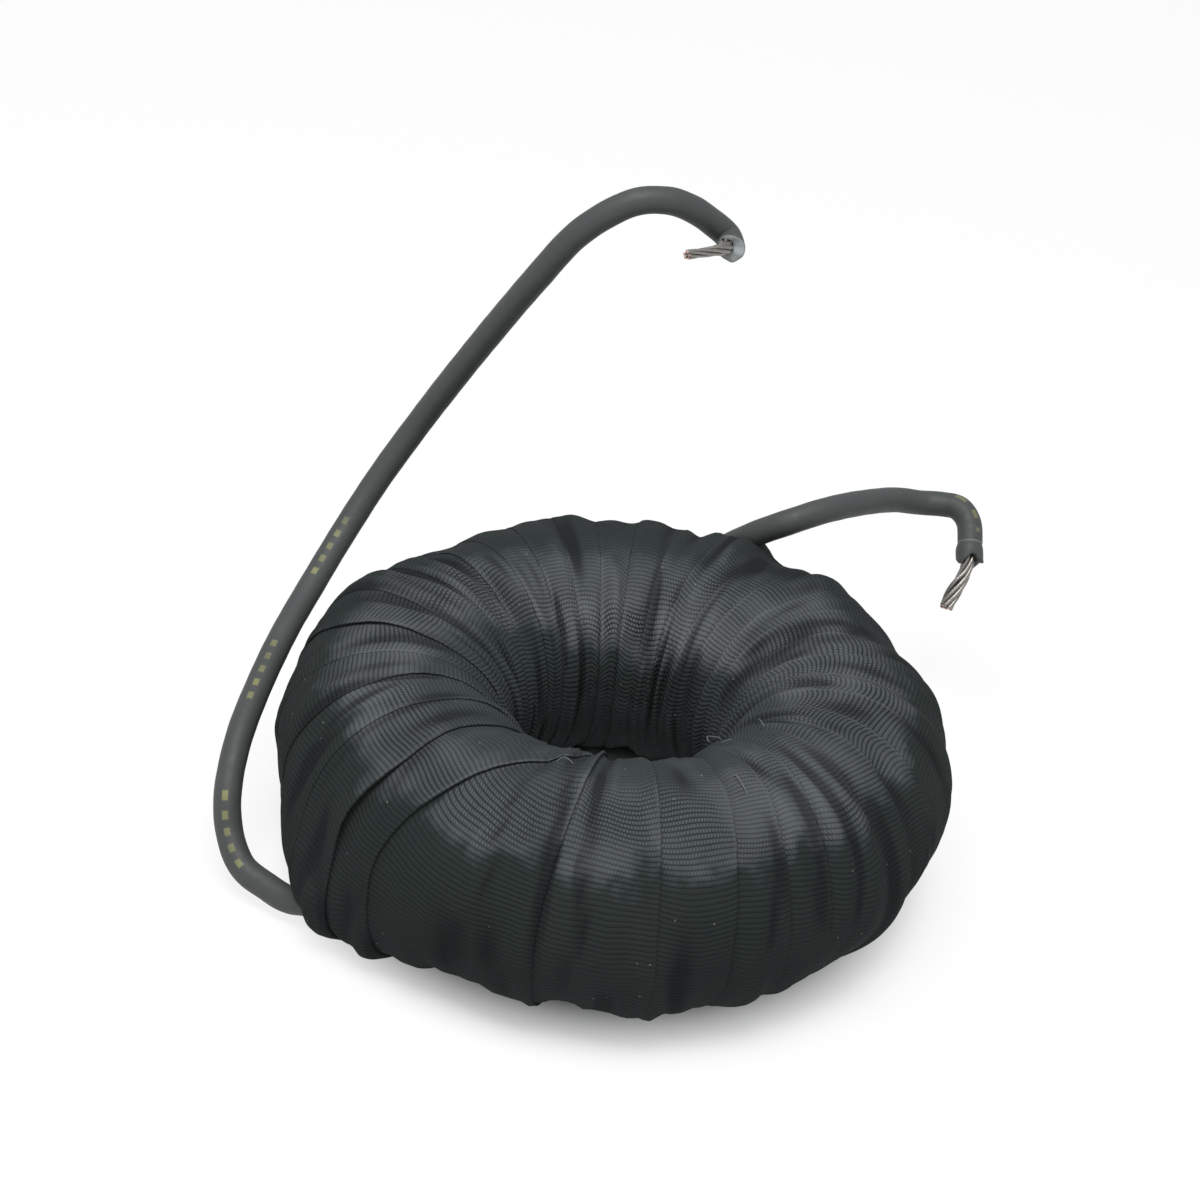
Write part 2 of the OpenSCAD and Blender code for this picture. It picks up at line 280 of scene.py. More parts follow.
def make_rib_weave():
    """Thick cross ribs with fine yarns over them. Along and across the cloth are in millimetres."""
    tree, s, given, out = new_group(
        "rib_weave",
        [("Cloth", VECTOR, None), ("Rib Pitch", FLOAT, 0.55), ("Yarn Pitch", FLOAT, 0.27),
         ("Waviness", FLOAT, 0.3)],
        [("Height", FLOAT), ("Groove", FLOAT), ("Yarn", FLOAT)])
    split = s.add("ShaderNodeSeparateXYZ", {"Vector": given["Cloth"]}).outputs
    sway = s.math("SUBTRACT", s.noise(given["Cloth"], 0.22, 1.0), 0.5)
    along = s.math("MULTIPLY_ADD", sway, given["Waviness"], split["Y"])
    count = s.math("DIVIDE", along, given["Rib Pitch"])
    rib = s.math("ABSOLUTE", s.math("SINE", s.math("MULTIPLY", count, math.pi)))
    rib_round = s.math("POWER", rib, 0.6)
    stray = s.math("MULTIPLY", s.noise(given["Cloth"], 1.3, 1.0), 0.6)
    stray = s.math("MULTIPLY_ADD", s.math("FLOOR", count), 0.5, stray)
    yarn_count = s.math("ADD", s.math("DIVIDE", split["X"], given["Yarn Pitch"]), stray)
    yarn = s.math("MULTIPLY_ADD", s.math("SINE", s.math("MULTIPLY", yarn_count, 2 * math.pi)), 0.5, 0.5)
    height = s.math("MULTIPLY", rib_round, s.math("MULTIPLY_ADD", yarn, 0.25, 0.75))
    s.tree.links.new(height, out["Height"])
    s.tree.links.new(s.ramp(rib, 0.28, 0.97, 1.0, 0.0), out["Groove"])
    s.tree.links.new(yarn, out["Yarn"])
    return tree


def make_mottle():
    """Slow and fine unevenness of a surface, from 0 to 1."""
    tree, s, given, out = new_group(
        "mottle", [("Where", VECTOR, None), ("Scale", FLOAT, 200.0)], [("Slow", FLOAT), ("Fine", FLOAT)])
    s.tree.links.new(s.noise(given["Where"], given["Scale"], 3.0), out["Slow"])
    fine = s.math("MULTIPLY", given["Scale"], 9.0)
    s.tree.links.new(s.noise(given["Where"], fine, 2.0), out["Fine"])
    return tree


def make_dust():
    """Sparse pale specks of dust."""
    tree, s, given, out = new_group(
        "dust_specks",
        [("Where", VECTOR, None), ("Scale", FLOAT, 600.0), ("Amount", FLOAT, 0.1)], [("Mask", FLOAT)])
    cell = s.add("ShaderNodeTexVoronoi", {"Vector": given["Where"], "Scale": given["Scale"]}).outputs
    draw = s.add("ShaderNodeSeparateColor", {"Color": cell["Color"]}).outputs[0]
    chosen = s.math("LESS_THAN", draw, given["Amount"])
    speck = s.ramp(cell["Distance"], 0.10, 0.22, 1.0, 0.0)
    s.tree.links.new(s.math("MULTIPLY", chosen, speck), out["Mask"])
    return tree


RIB_WEAVE, MOTTLE, DUST = make_rib_weave(), make_mottle(), make_dust()


def object_place(sheet):
    return sheet.add("ShaderNodeTexCoord").outputs["Object"]


def level_place(sheet):
    """The place across and along the floor, with its height left out."""
    return sheet.vector("MULTIPLY", object_place(sheet), (1, 1, 0))["Vector"]


def from_axis(sheet):
    """Distance from the ring's axis."""
    return sheet.vector("LENGTH", level_place(sheet))["Value"]


def stored(sheet, name):
    return sheet.add("ShaderNodeAttribute", attribute_name=name).outputs["Vector"]


def bump(sheet, shader, height, distance):
    node = sheet.add("ShaderNodeBump", {"Height": height, "Distance": distance, "Strength": 1.0})
    sheet.tree.links.new(node.outputs["Normal"], shader.inputs["Normal"])


def painted_light_band(s, slow, height):
    """Painted light: how grey the cloth is painted, by the angle that it lies at; greyest in a band that
    leans to the front, where a lamp would light it.
    """
    outward = s.vector("NORMALIZE", level_place(s))["Vector"]

    def along(one, other):
        return s.vector("DOT_PRODUCT", one, other)["Value"]

    # the angle of the cloth in the ring's section, made uneven by the weave and by slow and fine noise
    normal = s.add("ShaderNodeNewGeometry").outputs["Normal"]
    lies_at = s.math("ARCTAN2", along(normal, (0, 0, 1)), along(normal, outward))
    lies_at = s.math("MULTIPLY_ADD", s.math("SUBTRACT", slow, 0.5), 0.30, lies_at)
    lies_at = s.math("MULTIPLY_ADD", s.math("SUBTRACT", height, 0.6), 0.08, lies_at)
    ragged = s.math("SUBTRACT", s.noise(object_place(s), 420.0, 3.0), 0.5)
    lies_at = s.math("MULTIPLY_ADD", ragged, 0.40, lies_at)

    # the band's lower and upper limits, both higher towards the rear
    rear = along(outward, (-0.087, 0.996, 0))
    rear_right = along(outward, (0.259, 0.966, 0))
    lowest = s.math("MULTIPLY_ADD", s.math("MULTIPLY", rear, rear), 0.20, 1.10)
    above = s.math("SUBTRACT", lies_at, s.math("MULTIPLY_ADD", rear, 0.58, lowest))
    above = s.math("DIVIDE", above, s.math("MULTIPLY_ADD", rear, 0.09, 0.21))
    beyond = s.math("SUBTRACT", lies_at, s.math("MULTIPLY_ADD", rear_right, 0.66, 2.09))
    # painted light above the band's lower limit, a little of it all over the rear and somewhat less at the
    # front; past the upper limit the cloth is painted dark again as painted shade
    lit_share = s.math("MAXIMUM", s.ramp(above, -0.9, 1.1), s.ramp(rear, -0.2, 0.8, 0.0, 0.12))
    lit_share = s.math("MULTIPLY", lit_share, s.ramp(rear, -1.0, -0.2, 0.82, 1.0))
    unlit_share = s.math("MULTIPLY", s.ramp(beyond, -0.16, 0.18), s.math("MULTIPLY_ADD", rear, 0.20, 0.80))
    return s.math("MULTIPLY", lit_share, s.math("SUBTRACT", 1.0, unlit_share))


def paint_tape():
    """Black rib cloth, painted grey in a band as painted light, where a lamp above and in front would light
    it, the ribs' tops a little further; painted shade darkens its creases and grooves, and a painted
    highlight pales its fold crests.
    """
    material, s, shader = new_material("black_woven_tape")
    cloth = stored(s, "cloth")
    weave = place_group(s, RIB_WEAVE, {
        "Cloth": cloth, "Rib Pitch": 0.56, "Yarn Pitch": 0.33, "Waviness": 0.35})
    uneven = place_group(s, MOTTLE, {"Where": object_place(s), "Scale": 90.0})
    dust = place_group(s, DUST, {"Where": object_place(s), "Scale": 1500.0, "Amount": 0.016})
    across, _, wrinkle = s.add("ShaderNodeSeparateXYZ", {"Vector": cloth}).outputs
    selvage = s.ramp(across, 0.15, 0.55, 1.0, 0.0)
    in_hole = s.ramp(from_axis(s), 0.019, 0.026, 1.0, 0.0)
    # share of painted light on the cloth, from the band
    painted_lit = painted_light_band(s, uneven["Slow"], weave["Height"])
    black = s.blend(uneven["Slow"], (0.023, 0.029, 0.028, 1), (0.034, 0.039, 0.038, 1))
    # the grey is painted light on the same black cloth, paler here and there at random
    grey = s.blend(s.ramp(uneven["Slow"], 0.3, 0.7), (0.102, 0.111, 0.116, 1), (0.122, 0.132, 0.138, 1))
    # on the wall of the hole the grey is painted paler still: painted light
    grey = s.blend(s.ramp(from_axis(s), 0.0135, 0.0175, 0.8, 0.0), grey, (0.175, 0.188, 0.196, 1))
    # in the hole the black is painted a little paler: painted light lifting the hole's shade
    black = s.blend(in_hole, black, (0.038, 0.046, 0.045, 1))
    # the yarns: black where the band leaves painted shade, grey where it paints light
    yarns = s.blend(painted_lit, black, grey)
    # the weave's grooves and the gaps between its yarns are painted darker: partly the weave's own pattern,
    # partly painted shade in its recesses; less of it at the selvage and outside the band of painted light,
    # and uneven
    gaps = s.math("MULTIPLY", s.math("SUBTRACT", 1.0, weave["Yarn"]), 0.66)
    shade = s.math("MAXIMUM", s.math("MULTIPLY", weave["Groove"], 0.72), gaps)
    shade = s.math("MULTIPLY", shade, s.math("MULTIPLY_ADD", selvage, -0.55, 1.0))
    shade = s.math("MULTIPLY", shade, s.math("MULTIPLY_ADD", painted_lit, 0.65, 0.35))
    patchy = s.ramp(s.noise(object_place(s), 130.0, 2.0), 0.35, 0.65, 0.55, 1.25)
    shade = s.math("MULTIPLY", shade, patchy)
    woven = s.blend(shade, yarns, (0.016, 0.020, 0.020, 1))
    # creases painted darker: painted shade in the hollows of the folds
    woven = s.blend(s.ramp(wrinkle, -0.24, 0.04, 0.62, 0.0), woven, (0.012, 0.014, 0.014, 1))
    # fold crests inside the band painted paler: a painted highlight
    crest_highlight = s.math("MULTIPLY", s.ramp(wrinkle, 0.08, 0.34, 0.0, 0.25), painted_lit)
    woven = s.blend(crest_highlight, woven, (0.15, 0.16, 0.165, 1))
    colour = s.blend(s.math("MULTIPLY", dust["Mask"], 0.45), woven, (0.30, 0.31, 0.30, 1))
    s.tree.links.new(colour, shader.inputs["Base Color"])
    shader.inputs["Roughness"].default_value = 0.7
    shader.inputs["Specular IOR Level"].default_value = 0.02
    fuzz = s.math("MULTIPLY_ADD", uneven["Fine"], 0.2, weave["Height"])
    bump(s, shader, fuzz, 0.00012)
    return material


def paint_jacket():
    """Satin black jacket, with worn pale dashes along one side, and a pale ring beside the score near a cut
    end, a painted highlight.
    """
    material, s, shader = new_material("black_jacket")
    place = s.add("ShaderNodeSeparateXYZ", {"Vector": stored(s, "jacket")}).outputs
    uneven = place_group(s, MOTTLE, {"Where": object_place(s), "Scale": 160.0})
    dust = place_group(s, DUST, {"Where": object_place(s), "Scale": 500.0, "Amount": 0.02})
    black = s.blend(uneven["Slow"], (0.056, 0.061, 0.060, 1), (0.076, 0.080, 0.079, 1))
    black = s.blend(s.math("MULTIPLY", dust["Mask"], 0.3), black, (0.25, 0.25, 0.24, 1))
    worn = s.ramp(uneven["Slow"], 0.25, 0.75, 0.25, 0.8)
    black = s.blend(s.math("MULTIPLY", dashes_of(s, place), worn), black, (0.30, 0.30, 0.12, 1))
    # a pale ring painted just beside the score: a painted highlight where the groove's lip would catch the
    # light
    from_score = s.math("ABSOLUTE", s.math("SUBTRACT", place["Z"], SCORE_AT + 0.12))
    ring = s.ramp(from_score, 0.05, 0.16, 0.35, 0.0)
    black = s.blend(ring, black, (0.30, 0.29, 0.29, 1))
    s.tree.links.new(black, shader.inputs["Base Color"])
    s.tree.links.new(s.ramp(uneven["Fine"], 0.2, 0.8, 0.50, 0.62), shader.inputs["Roughness"])
    shader.inputs["Specular IOR Level"].default_value = 0.35
    bump(s, shader, uneven["Fine"], 0.00004)
    return material


def dashes_of(s, place):
    """Mask of the dashes: a millimetre long, every 2 mm, in three groups, along the middle of the turn."""
    step = s.math("FRACT", s.math("DIVIDE", place["X"], 2.0))
    in_dash = s.ramp(s.math("ABSOLUTE", s.math("SUBTRACT", step, 0.5)), 0.18, 0.30, 1.0, 0.0)
    in_group = s.math("LESS_THAN", s.math("FRACT", s.math("DIVIDE", place["X"], 20.0)), 0.5)
    begun, not_over = s.math("GREATER_THAN", place["X"], 0.0), s.math("LESS_THAN", place["X"], 50.0)
    off_end = s.math("GREATER_THAN", place["Z"], SCORE_AT + 1.3)
    across = s.math("ABSOLUTE", s.math("SUBTRACT", place["Y"], 0.5))
    in_row = s.ramp(across, 0.025, 0.045, 1.0, 0.0)
    marked = in_dash
    for mask in (in_group, begun, not_over, off_end, in_row):
        marked = s.math("MULTIPLY", marked, mask)
    return marked


def paint_jacket_cut(name, light, dark):
    material, s, shader = new_material(name)
    uneven = place_group(s, MOTTLE, {"Where": object_place(s), "Scale": 700.0})
    s.tree.links.new(s.blend(uneven["Slow"], dark, light), shader.inputs["Base Color"])
    shader.inputs["Roughness"].default_value = 0.7
    bump(s, shader, uneven["Slow"], 0.0001)
    return material


def paint_uneven(name, light, dark, smoothest, roughest, scale, depth, metallic):
    """A finish between two colours and two roughnesses, with a fine bump."""
    material, s, shader = new_material(name)
    uneven = place_group(s, MOTTLE, {"Where": object_place(s), "Scale": scale})
    s.tree.links.new(s.blend(uneven["Slow"], light, dark), shader.inputs["Base Color"])
    s.tree.links.new(s.ramp(uneven["Fine"], 0.2, 0.8, smoothest, roughest), shader.inputs["Roughness"])
    shader.inputs["Metallic"].default_value = metallic
    bump(s, shader, uneven["Fine"], depth)
    return material


def paint_metal(name, light, dark, roughness, scale):
    return paint_uneven(name, light, dark, roughness - 0.08, roughness + 0.1, scale, 0.00002, 1.0)


def paint_plain(name, light, dark, roughness, scale, depth):
    return paint_uneven(name, light, dark, roughness - 0.08, roughness + 0.08, scale, depth, 0.0)


def paint_core_wrap():
    material, s, shader = new_material("varnished_cloth")
    ways = s.vector("MULTIPLY", object_place(s), (1 / MM, 1 / MM, 1 / MM))["Vector"]
    weave = place_group(s, RIB_WEAVE, {"Cloth": ways, "Rib Pitch": 0.8, "Yarn Pitch": 0.8, "Waviness": 0.1})
    varnish = s.blend(weave["Groove"], (0.70, 0.60, 0.36, 1), (0.50, 0.41, 0.22, 1))
    s.tree.links.new(varnish, shader.inputs["Base Color"])
    shader.inputs["Roughness"].default_value = 0.45
    bump(s, shader, weave["Height"], 0.0001)
    return material


TAPE = paint_tape()
JACKET = paint_jacket()
PALE_CUT = paint_jacket_cut("pale_cut_face", (0.40, 0.42, 0.42, 1), (0.24, 0.26, 0.26, 1))
DARK_CUT = paint_jacket_cut("dark_cut_face", (0.12, 0.125, 0.125, 1), (0.045, 0.05, 0.05, 1))
TINNED = paint_metal("tinned_strand", (0.42, 0.40, 0.375, 1), (0.28, 0.262, 0.242, 1), 0.46, 900.0)
COPPER_CUT = paint_metal("cut_copper", (0.86, 0.52, 0.42, 1), (0.72, 0.36, 0.27, 1), 0.38, 900.0)
FIBRE = paint_plain("loose_fibre", (0.10, 0.11, 0.11, 1), (0.22, 0.23, 0.23, 1), 0.8, 300.0, 0.00001)


# the tape
def ease(t):
    return (1 - np.cos(np.pi * t)) / 2


def smooth_step(low, high, x):
    t = np.clip((x - low) / (high - low), 0, 1)
    return t * t * (3 - 2 * t)


def apart(a, b):
    """Angle between two directions, from -180 to 180 degrees."""
    return (a - b + 180) % 360 - 180


def hill(a, b, spread):
    return np.exp(-(apart(a, b) / spread) ** 2)


def lap_edge(s):
    """Angle round the ring of the tape's showing edge after s turns."""
    k = np.floor(s).astype(int)
    f = s - k
    here, later = TAPE_LAPS[k % TURNS], TAPE_LAPS[(k + 1) % TURNS]
    back, back_later = 360 * np.floor(k / TURNS), 360 * np.floor((k + 1) / TURNS)
    first = here[:, 1] - back + (here[:, 0] - here[:, 1]) * ease(2 * f)
    goal = later[:, 1] - back_later
    second = here[:, 0] - back + (goal - (here[:, 0] - back)) * ease(2 * f - 1)
    edge = np.where(f < 0.5, first, second)
    for turn, phi, spread, degrees in SWERVES:
        edge = edge + degrees * hill(section_angle(s), phi, spread) * (k % TURNS == turn)
    return edge


def section_angle(s):
    return 180 - 360 * (s - np.floor(s))


def waves(theta, phi, draws, count, rounds, turns):
    """Gentle unevenness that closes on itself both ways round the ring, about 1 high."""
    total = np.zeros_like(theta)
    for _ in range(count):
        m, n = draws.integers(*rounds), draws.integers(*turns)
        start = draws.uniform(0, 2 * np.pi)
        total += np.sin(np.radians(m * theta + n * phi) + start)
    return total / math.sqrt(count / 2)


def along_turns(s, values):
    """A value for each turn, changing smoothly from turn to turn."""
    k = np.floor(s).astype(int)
    q = ease(s - k)
    return values[k % TURNS] * (1 - q) + values[(k + 1) % TURNS] * q


def small_folds(draws, count):
    """Folds left where the tape was pulled round the ring, in the form of FOLDS."""
    return [(draws.uniform(0, 360), draws.uniform(-70, 175),
             draws.uniform(2.0, 6.5), draws.uniform(0.45, 1.1),
             draws.choice([-1, 1], p=[0.45, 0.55]) * draws.uniform(0.10, 0.30)) for _ in range(count)]


def folded(theta, phi, draws):
    """Height of the folds and creases at each place of the wrap; each leans a little."""
    total = np.zeros_like(theta)
    per_degree = np.radians(MID_R + HALF_W * np.cos(np.radians(phi)))
    for at, phi_at, half_length, half_width, height in FOLDS + small_folds(draws, FOLD_COUNT):
        from_middle = apart(phi, phi_at)
        off = apart(theta, at + draws.uniform(-0.09, 0.09) * from_middle) * per_degree / half_width
        along = from_middle * SECTION_ROUND / 360 / half_length
        total += height * np.exp(-off ** 2 - along ** 2)
    return total


def make_tape():
    draws = np.random.default_rng(11)
    rows = TURNS * ROWS_PER_TURN
    s = (np.arange(rows) + 0.5) / ROWS_PER_TURN
    phi = section_angle(s)
    turn = np.floor(s).astype(int)
    out_r = MID_R + HALF_W * np.cos(np.radians(phi))
    per_degree = np.radians(out_r)

    def next_turn(values):
        return np.roll(values, -ROWS_PER_TURN)

    # the showing edge and the next turn's, both a little uneven
    fray = along_turns(s * 9 % TURNS, draws.normal(0, 0.07, TURNS)) + draws.normal(0, 0.02, rows)
    edge = lap_edge(s) + fray / per_degree
    edge_next = next_turn(edge)
    edge_next[-ROWS_PER_TURN:] -= 360

    heights = np.array([EDGE_HEIGHTS.get(k, EDGE_HEIGHT) for k in range(TURNS)])
    thick = along_turns(s - 0.5, heights) * (1 + 0.3 * hill(phi, 180, 70))
    thick_next = next_turn(thick)
    lift = np.zeros(rows)
    for k, angle, spread, height in LIFTS:
        lift += height * hill(phi, angle, spread) * (turn == k)
    lift += np.clip(along_turns(s * 3 % TURNS, draws.normal(-0.02, 0.06, TURNS)), 0, 0.15)
    tucked = 0.06 + 0.9 * lift
    tucked_next = next_turn(tucked)

    # columns across the tape: under the edge, round the edge, then over to the next turn's edge
    across = np.array([0, 0.03, 0.08, 0.16, 0.25, 0.34, 0.43, 0.52, 0.61, 0.70, 0.79, 0.87, 0.94])
    columns = [(edge - tucked / per_degree, thick * 0.96 - lift * 0.7),
               (edge + 0.05 / per_degree, thick * 0.6 - lift)]
    for q in across:
        settle = lift * np.clip(1 - q / 0.45, 0, 1) ** 2
        pillow = 0.13 * math.sin(math.pi * q)
        depth = thick_next * smooth_step(0.20, 0.98, q) - settle - pillow + (0.04 if q == 0 else 0)
        columns.append((edge + (edge_next - edge) * q, depth))
    columns.append((edge_next - tucked_next / per_degree, thick_next))
    theta = np.stack([c[0] for c in columns], 1)
    depth = np.stack([c[1] * np.ones(rows) for c in columns], 1)

    # unevenness that all turns share where they lie on each other
    angle = np.repeat(phi[:, None], theta.shape[1], 1)
    wrinkle = folded(theta, angle, draws)
    ripples = np.clip(waves(theta, angle, draws, 16, (3, 9), (-3, 4)), 0, 1.5)
    wrinkle += 0.14 * ripples * waves(theta, angle, draws, 20, (34, 76), (-3, 4))
    puff = wrinkle.copy()
    for at, phi_at, height, wide, tall in SWELLINGS + LUMPS:
        puff += height * hill(theta, at, wide) * hill(angle, phi_at, tall)
    puff += 0.16 * waves(theta, angle, draws, 24, (6, 22), (-4, 5))
    low_side, hole_side = hill(angle, -55, 50), hill(angle, 165, 60)
    puff += 0.17 * low_side * waves(theta, angle, draws, 16, (28, 64), (-2, 3))
    puff += 0.13 * hole_side * waves(theta, angle, draws, 16, (40, 90), (-2, 3))
    puff += 0.03 * waves(theta, angle, draws, 24, (30, 90), (-8, 9))

    # the wrap may sink only as far as the winding, and not at all over the right lead's joint
    closest = -0.85 - 0.3 * hill(angle, -50, 45) + 1.05 * hill(theta, 75, 7) * hill(angle, 46, 16)
    reach = np.maximum(puff - depth, closest)
    r = MID_R + (HALF_W + reach) * np.cos(np.radians(angle))
    z = MID_Z + (HALF_H + reach) * np.sin(np.radians(angle))
    z = np.maximum(z, np.clip(depth, 0, None))
    points = np.stack([r * np.cos(np.radians(theta)), r * np.sin(np.radians(theta)), z], 2)

    # the cloth's own directions: square to the edge, and along it with the ribs a little bowed
    run = s * SECTION_ROUND
    slant = np.gradient((lap_edge(s) + lap_edge(s + 1)) / 2, run) * per_degree
    slant = np.convolve(np.pad(np.clip(slant, -0.6, 0.6), 20, "wrap"), np.ones(41) / 41, "valid")
    width = (edge[:, None] - theta) * per_degree[:, None]
    shows = ((edge - edge_next) * per_degree)[:, None]
    bow = along_turns(s * 5 % TURNS, draws.normal(0, 0.6, TURNS))[:, None] * (2 * width / shows - 1) ** 2
    bow += 0.2 * waves(theta, angle, draws, 16, (6, 24), (-4, 5))
    along = run[:, None] - (width - shows / 2) * slant[:, None] + bow
    cloth = np.stack([width, along, wrinkle], 2)

    columns_each = theta.shape[1]
    index = np.arange(rows * columns_each).reshape(rows, columns_each)
    below = np.roll(index, -1, 0)
    neighbour, neighbour_below = np.roll(index, -ROWS_PER_TURN, 0), np.roll(below, -ROWS_PER_TURN, 0)
    band = np.stack([index[:, :-1], index[:, 1:], below[:, 1:], below[:, :-1]], 2).reshape(-1, 4)
    seam = np.stack([index[:, -1], neighbour[:, 0], neighbour_below[:, 0], below[:, -1]], 1)
    faces = np.concatenate([band, seam])
    piece = mesh_piece("tape_wrap", points.reshape(-1, 3), faces.tolist(), [TAPE])

    here = cloth.reshape(-1, 3)
    corners = here[faces]
    wrapped = corners[:, :, 1] < corners[:, :1, 1] - SECTION_ROUND * TURNS / 2
    corners[:, :, 1] += wrapped * SECTION_ROUND * TURNS
    seam_corners = corners[len(band):]
    seam_corners[:, 1] = seam_corners[:, 0]
    seam_corners[:, 2] = seam_corners[:, 3]
    corner_layer(piece.data, "cloth", corners)
    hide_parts("outer_tape")


make_tape()


# the leads
def on_ring(points):
    return np.array(points, float) * (RING_D / 2, RING_D / 2, RING_H) / 100


def smooth_route(points, steps):
    """Points on a smooth curve through a route; its first span is straight."""
    p = np.array(points, float)
    last = len(p) - 1
    route = [p[0] + (p[1] - p[0]) * t for t in np.arange(steps) / steps]
    for i in range(1, last):
        a, b, c, d = p[i - 1], p[i], p[i + 1], p[min(i + 2, last)]
        for t in np.arange(steps) / steps:
            route.append(b + (c - a) * t / 2 + (2 * a - 5 * b + 4 * c - d) * t * t / 2
                         + (3 * b - a - 3 * c + d) * t ** 3 / 2)
    return np.array(route + [p[last]])


def run_along(route):
    return np.concatenate([[0], np.cumsum(np.linalg.norm(np.diff(route, axis=0), axis=1))])


def carried_frames(route):
    """For each point of a route: its direction, and two directions square to it that don't twist."""
    ahead = np.gradient(route, axis=0)
    ahead /= np.linalg.norm(ahead, axis=1)[:, None]
    side = np.zeros_like(route)
    one = np.array([0.3, 0.2, 1.0])
    for i, w in enumerate(ahead):
        one = one - w * one.dot(w)
        one /= np.linalg.norm(one)
        side[i] = one
    return ahead, side, np.cross(ahead, side)


def make_jacket(name, points, node, lips, bore, cut_material, dashes, scored):
    """A jacket tube with a ragged, hollow end; where it was scored, with a ring and a loose collar."""
    draws = np.random.default_rng(len(points))
    sides = 40
    route = smooth_route(points, 14)
    run = run_along(route)
    ahead, side, other = carried_frames(route)
    end = len(route) - 1
    to_end = run[-1] - run

    def turned_to(i, direction):
        return math.atan2(other[i].dot(direction), side[i].dot(direction))

    beside = int(np.argmin(np.abs(to_end - 5.0)))
    turn = turned_to(beside, dashes[0]) + np.pi + np.arange(sides) * 2 * np.pi / sides
    size = 1 + 0.006 * np.sin(run * 1.7) + 0.005 * np.sin(run * 0.61 + 1)
    if scored:
        size += 0.11 * hump(to_end, 0.5 * SCORE_AT, 0.8) - 0.05 * hump(to_end, SCORE_AT, 0.18)
    size *= LEAD_D / 2
    rough = np.convolve(np.tile(draws.normal(0, 1, sides), 3), [0.25, 0.5, 0.25], "same")[sides:2 * sides]
    ragged, pushed = 0.07 * rough, np.ones(sides)
    for direction, half_angle, forward, outward in lips:
        off = (turn - turned_to(end, direction) + np.pi) % (2 * np.pi) - np.pi
        lip = np.exp(-(off / half_angle) ** 2)
        ragged = ragged + forward * lip
        pushed = pushed + outward * lip

    bore_share, bore_place = bore[0], np.array(bore[1])

    def ring(i, reach, forward=0.0, spread=1.0, to_bore=0.0):
        reach = np.broadcast_to(reach * spread, sides)[:, None]
        forward = np.broadcast_to(forward, sides)[:, None]
        return route[i] + to_bore * bore_place + arms(side[i], other[i], turn) * reach + ahead[i] * forward

    # rings near the end lean over step by step to the ragged rim
    near = int(np.argmin(np.abs(to_end - 1.2)))
    rings = [ring(0, 0.02)] + [ring(i, size[i]) for i in range(near)]
    for i in range(near, end):
        share = ((i - near) / (end - near)) ** 1.5
        rings.append(ring(i, size[i], ragged * share, 1 + (pushed - 1) * share))
    outer = size[end]
    rings.append(ring(end, outer, ragged, pushed))
    rings.append(ring(end, outer * 0.95, ragged + 0.07, pushed))
    cut_from = len(rings) - 1
    rings.append(ring(end, outer * 0.85, ragged + 0.08, pushed, 0.15))
    rings.append(ring(end, outer * (bore_share + 0.14), ragged * 0.85, 1 + (pushed - 1) * 0.9, 0.8))
    rings.append(ring(end, outer * (bore_share + 0.06), ragged * 0.6 - 0.15, 1 + (pushed - 1) * 0.6, 1.0))
    rings.append(ring(end, outer * bore_share, -1.6, 1.0, 1.0))
    rings.append(ring(end, 0.02, -1.7, 1.0, 1.0))
    faces = tube_faces(len(rings), sides)
    piece = mesh_piece(name, np.concatenate(rings), faces, [JACKET, cut_material])
    picks = np.zeros(len(faces), np.int32)
    picks[cut_from * sides:(len(rings) - 1) * sides] = 1
    picks[-1] = 1
    piece.data.polygons.foreach_set("material_index", picks)

    # distance from the dashes' start, share of the turn round the jacket and distance from its end, for the
    # material; the last starts at 5 mm on a jacket that isn't scored
    runs = np.concatenate([[0], run, [run[-1]] * (len(rings) - len(run) - 1)])
    ends = run[-1] - runs + (0 if scored else 5)
    runs = runs - dashes[1]
    corners = []
    for i in range(len(rings) - 1):
        for j in range(sides):
            low, high = j / sides, (j + 1) / sides
            corners += [(runs[i], low, ends[i]), (runs[i], high, ends[i]),
                        (runs[i + 1], high, ends[i + 1]), (runs[i + 1], low, ends[i + 1])]
    corners += [(runs[0], 0, ends[0])] * sides + [(runs[-1], 0, ends[-1])] * sides
    corner_layer(piece.data, "jacket", corners)
    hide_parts(node)
    return piece, route, run[-1], ahead[end]


def hump(x, middle, spread):
    return np.exp(-((x - middle) / spread) ** 2)


